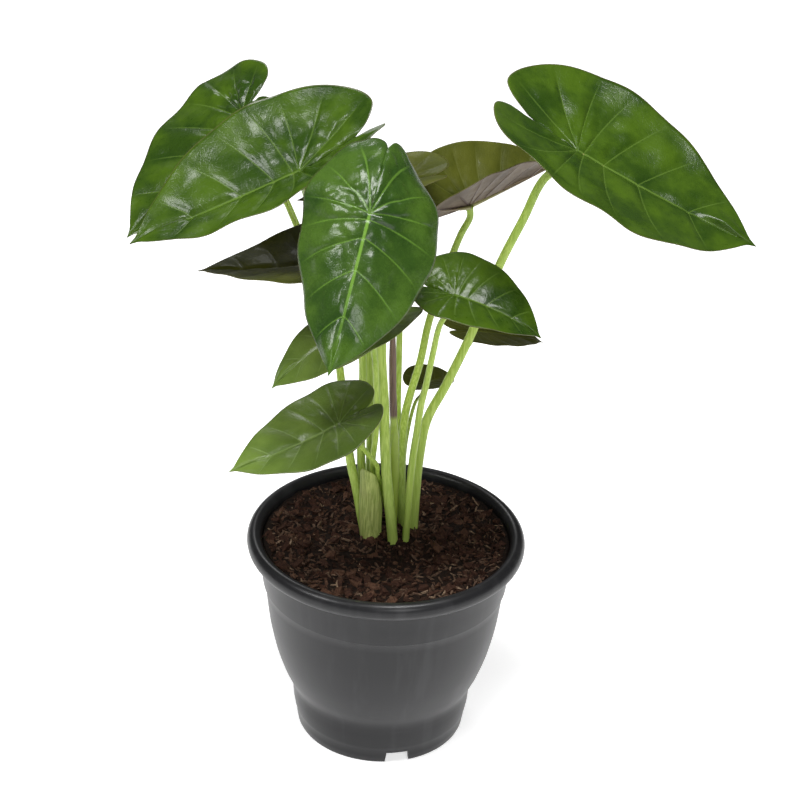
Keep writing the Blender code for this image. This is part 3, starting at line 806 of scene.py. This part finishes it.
def chip(edit, spot, long=(0.0018, 0.0050), wide=(0.0010, 0.0024), thick=(0.0004, 0.0011)):
    """One angular chip of bark."""
    size = Vector((random.uniform(*long), random.uniform(*wide), random.uniform(*thick)))
    made = bmesh.ops.create_cube(edit, size=1.0)
    for vert in made["verts"]:
        jitter = Vector(random.uniform(-0.28, 0.28) for _axis in range(3))
        corner = vert.co + jitter
        vert.co = spot @ Vector((corner.x * size.x, corner.y * size.y, corner.z * size.z * 1.6))


def crumb(edit, spot):
    """One rounded crumb."""
    size = random.uniform(0.0007, 0.0019)
    made = bmesh.ops.create_icosphere(edit, subdivisions=1, radius=1.0)
    for vert in made["verts"]:
        vert.co = spot @ (vert.co * size * random.uniform(0.6, 1.15))


def sliver(edit, spot):
    chip(edit, spot, (0.0035, 0.0085), (0.0005, 0.0013), (0.0004, 0.0010))


def large_chip(edit, spot):
    chip(edit, spot, (0.0045, 0.0100), (0.0026, 0.0056), (0.0010, 0.0024))


# ---------------------------------------------------------------- pot

def arc(centre, radii, first, last, count):
    """Points on part of an ellipse, by angle from +X."""
    angles = [math.radians(first + (last - first) * i / (count - 1)) for i in range(count)]
    return [(centre[0] + radii[0] * math.cos(a), centre[1] + radii[1] * math.sin(a)) for a in angles]


def pot_outline():
    """The pot's section: foot, base ring, bowl, collar, rolled rim, inside and floor."""
    outside = [(FOOT_RADIUS, 0.0), (0.0618, 0.0012), (0.0626, 0.006), (0.0632, 0.0115),
               (0.0637, 0.0126), (0.0641, 0.0148), (0.0650, 0.0200), (0.0655, 0.0260),
               (0.0657, 0.0310), (0.0664, 0.0352), (0.0680, 0.0392), (0.0700, 0.0430),
               (0.0727, 0.0490), (0.0765, 0.0600), (0.0787, 0.0675), (0.0804, 0.0750),
               (0.0820, 0.0825), (0.0833, 0.0900), (0.0843, 0.0975), (0.0852, 0.1050),
               (0.0861, 0.1130), (0.0868, 0.1198), (0.0872, 0.1204), (0.0883, 0.1212),
               (0.0885, 0.1222), (0.0899, 0.1330), (0.0912, 0.1440), (0.0918, 0.1466)]
    rim = arc((RIM_RADIUS - 0.0055, RIM_TOP - 0.0064), (0.0055, 0.0064), -88, 178, 26)
    inside = [(0.0888, 0.1500), (0.0878, 0.1330), (0.0858, 0.1198), (0.0844, 0.1130),
              (0.0809, 0.0900), (0.0741, 0.0600), (0.0676, 0.0430), (0.0640, 0.0352),
              (0.0632, 0.0260), (0.0608, 0.0140), (0.0600, 0.0124)]
    floor = [(0.0236, 0.0124), (0.0206, 0.0024), (0.0, 0.0024)]
    under = [(0.0, 0.0), (0.022, 0.0), (0.025, 0.010), (0.0582, 0.010), (0.0584, 0.0008),
             (0.0590, 0.0)]
    return under + outside + rim + inside + floor


FOOT_NOTCHES = 3
FOOT_NOTCH_TURN = -77        # direction of the first notch
FOOT_NOTCH_WIDTH = 0.0186
FOOT_NOTCH_TOP = 0.009
DRAINS = 6
DRAIN_RADIUS = 0.005
DRAIN_RING = 0.041


def build_pot(material):
    """The pot turned from its section, with notches in its foot and drain holes in its floor."""
    edit = bmesh.new()
    corners = [edit.verts.new((radius, 0.0, height)) for radius, height in pot_outline()]
    edges = [edit.edges.new(pair) for pair in zip(corners, corners[1:])]
    bmesh.ops.spin(edit, geom=corners + edges, cent=(0, 0, 0), axis=(0, 0, 1), angle=math.tau,
                   steps=160, use_merge=True)
    mesh = bpy.data.meshes.new("pot_piece")
    edit.to_mesh(mesh)
    edit.free()
    piece = mesh_piece("pot_piece", mesh, [material])

    tool_edit = bmesh.new()
    for index in range(FOOT_NOTCHES):
        angle = math.radians(FOOT_NOTCH_TURN + 360 / FOOT_NOTCHES * index)
        made = bmesh.ops.create_cube(tool_edit, size=1.0)
        for vert in made["verts"]:
            top = vert.co.z > 0
            along = FOOT_RADIUS + vert.co.x * 0.020
            across = vert.co.y * FOOT_NOTCH_WIDTH * (0.86 if top else 1.0)
            vert.co = (along * math.cos(angle) - across * math.sin(angle),
                       along * math.sin(angle) + across * math.cos(angle),
                       FOOT_NOTCH_TOP if top else -0.005)
    for index in range(DRAINS):
        angle = math.tau * index / DRAINS
        made = bmesh.ops.create_cone(tool_edit, cap_ends=True, segments=24, radius1=DRAIN_RADIUS,
                                     radius2=DRAIN_RADIUS, depth=0.010)
        bmesh.ops.translate(tool_edit, verts=made["verts"],
                            vec=(DRAIN_RING * math.cos(angle), DRAIN_RING * math.sin(angle), 0.0112))
    tool_mesh = bpy.data.meshes.new("pot_tool")
    tool_edit.to_mesh(tool_mesh)
    tool_edit.free()
    tool = bpy.data.objects.new("pot_tool", tool_mesh)
    bpy.context.collection.objects.link(tool)
    cut = piece.modifiers.new("openings", "BOOLEAN")
    cut.operation = "DIFFERENCE"
    cut.solver = "EXACT"
    cut.object = tool
    graph = bpy.context.evaluated_depsgraph_get()
    finished = bpy.data.meshes.new_from_object(piece.evaluated_get(graph))
    piece.modifiers.clear()
    piece.data = finished
    bpy.data.objects.remove(tool, do_unlink=True)
    finished.shade_smooth()
    finished.set_sharp_from_angle(angle=math.radians(38))
    hand_over(piece, "pot_plastic", "pot")


# ---------------------------------------------------------------- stage, lights and camera

def build_stage():
    edit = bmesh.new()
    bmesh.ops.create_grid(edit, x_segments=2, y_segments=2, size=30.0)
    mesh = bpy.data.meshes.new("floor")
    edit.to_mesh(mesh)
    edit.free()
    mesh.materials.append(floor_material())
    floor = bpy.data.objects.new("floor", mesh)
    floor.location.z = POT_LOW[2] - 0.0002
    bpy.context.collection.objects.link(floor)


def area_light(name, place, target, size, power):
    data = bpy.data.lights.new(name, "AREA")
    data.shape = "RECTANGLE"
    data.size = size[0]
    data.size_y = size[1]
    data.energy = power
    light = bpy.data.objects.new(name, data)
    light.location = place
    light.rotation_euler = (Vector(target) - Vector(place)).to_track_quat("-Z", "Y").to_euler()
    bpy.context.collection.objects.link(light)


def build_lights():
    world = bpy.data.worlds.new("studio")
    bpy.context.scene.world = world
    world.use_nodes = True
    world.node_tree.nodes["Background"].inputs["Color"].default_value = (1.0, 1.0, 1.0, 1.0)
    world.node_tree.nodes["Background"].inputs["Strength"].default_value = 0.12
    heart = (0.0, 0.0, 0.25)
    area_light("top_softbox", (0.25, -0.35, 2.5), heart, (1.0, 0.8), 52.0)
    area_light("key_softbox", (-1.3, -0.6, 1.9), heart, (0.6, 0.6), 20.0)
    area_light("back_softbox", (-0.55, 1.9, 1.75), heart, (0.7, 0.35), 7.0)
    area_light("front_fill", (0.6, -2.2, 1.5), heart, (0.9, 0.9), 17.0)
    bpy.context.scene.view_settings.view_transform = "Standard"


def build_camera():
    """The camera looks down at the plant from the front, rolled a little to one side."""
    distance = 1.5
    down = math.radians(28.5)
    roll = math.radians(2.2)
    target = Vector((0.0062, 0.0, 0.2673))
    data = bpy.data.cameras.new("camera")
    data.lens = 97.1
    data.sensor_width = 36.0
    camera = bpy.data.objects.new("camera", data)
    camera.location = target + distance * Vector((0.0, -math.cos(down), math.sin(down)))
    look = (target - camera.location).to_track_quat("-Z", "Y").to_matrix()
    camera.rotation_euler = (look @ Matrix.Rotation(roll, 3, "Z")).to_euler()
    bpy.context.collection.objects.link(camera)
    bpy.context.scene.camera = camera


# ---------------------------------------------------------------- the plant

build_camera()
build_lights()
build_stage()
build_pot(pot_material())
build_soil(soil_material("potting_mix", (0.005, 0.003, 0.002), (0.026, 0.014, 0.009), 420.0))
scatter("bark_dark", 900, soil_material("bark_dark", (0.014, 0.006, 0.004), (0.060, 0.029, 0.018), 700.0),
        chip)
scatter("bark_brown", 620, soil_material("bark_brown", (0.050, 0.024, 0.014), (0.150, 0.084, 0.054), 800.0),
        chip)
scatter("bark_large", 230, soil_material("bark_large", (0.020, 0.008, 0.005), (0.085, 0.040, 0.025), 500.0),
        large_chip)
scatter("bark_red", 50, soil_material("bark_red", (0.052, 0.024, 0.014), (0.150, 0.078, 0.048), 500.0),
        large_chip)
scatter("bark_slivers", 520,
        soil_material("bark_slivers", (0.060, 0.033, 0.021), (0.200, 0.130, 0.088), 700.0), sliver)
scatter("soil_crumbs", 700, soil_material("soil_crumbs", (0.008, 0.004, 0.003), (0.060, 0.032, 0.020), 900.0),
        crumb)
scatter("bark_pale", 110, soil_material("bark_pale", (0.170, 0.105, 0.065), (0.400, 0.290, 0.200), 800.0),
        sliver)

stalk_finish = stalk_material()
rib_finish = rib_material()
under_finish = blade_under_material()
top_finishes = {look: blade_top_material(look) for look in BLADE_COLOURS}
for leaf in LEAVES:
    build_blade(leaf, [top_finishes[FINISHES[leaf.name].look], under_finish])
    build_stalk(leaf, stalk_finish)
    build_ribs(leaf, rib_finish)
build_new_leaf(young_leaf_material())
build_old_sheath(sheath_material())
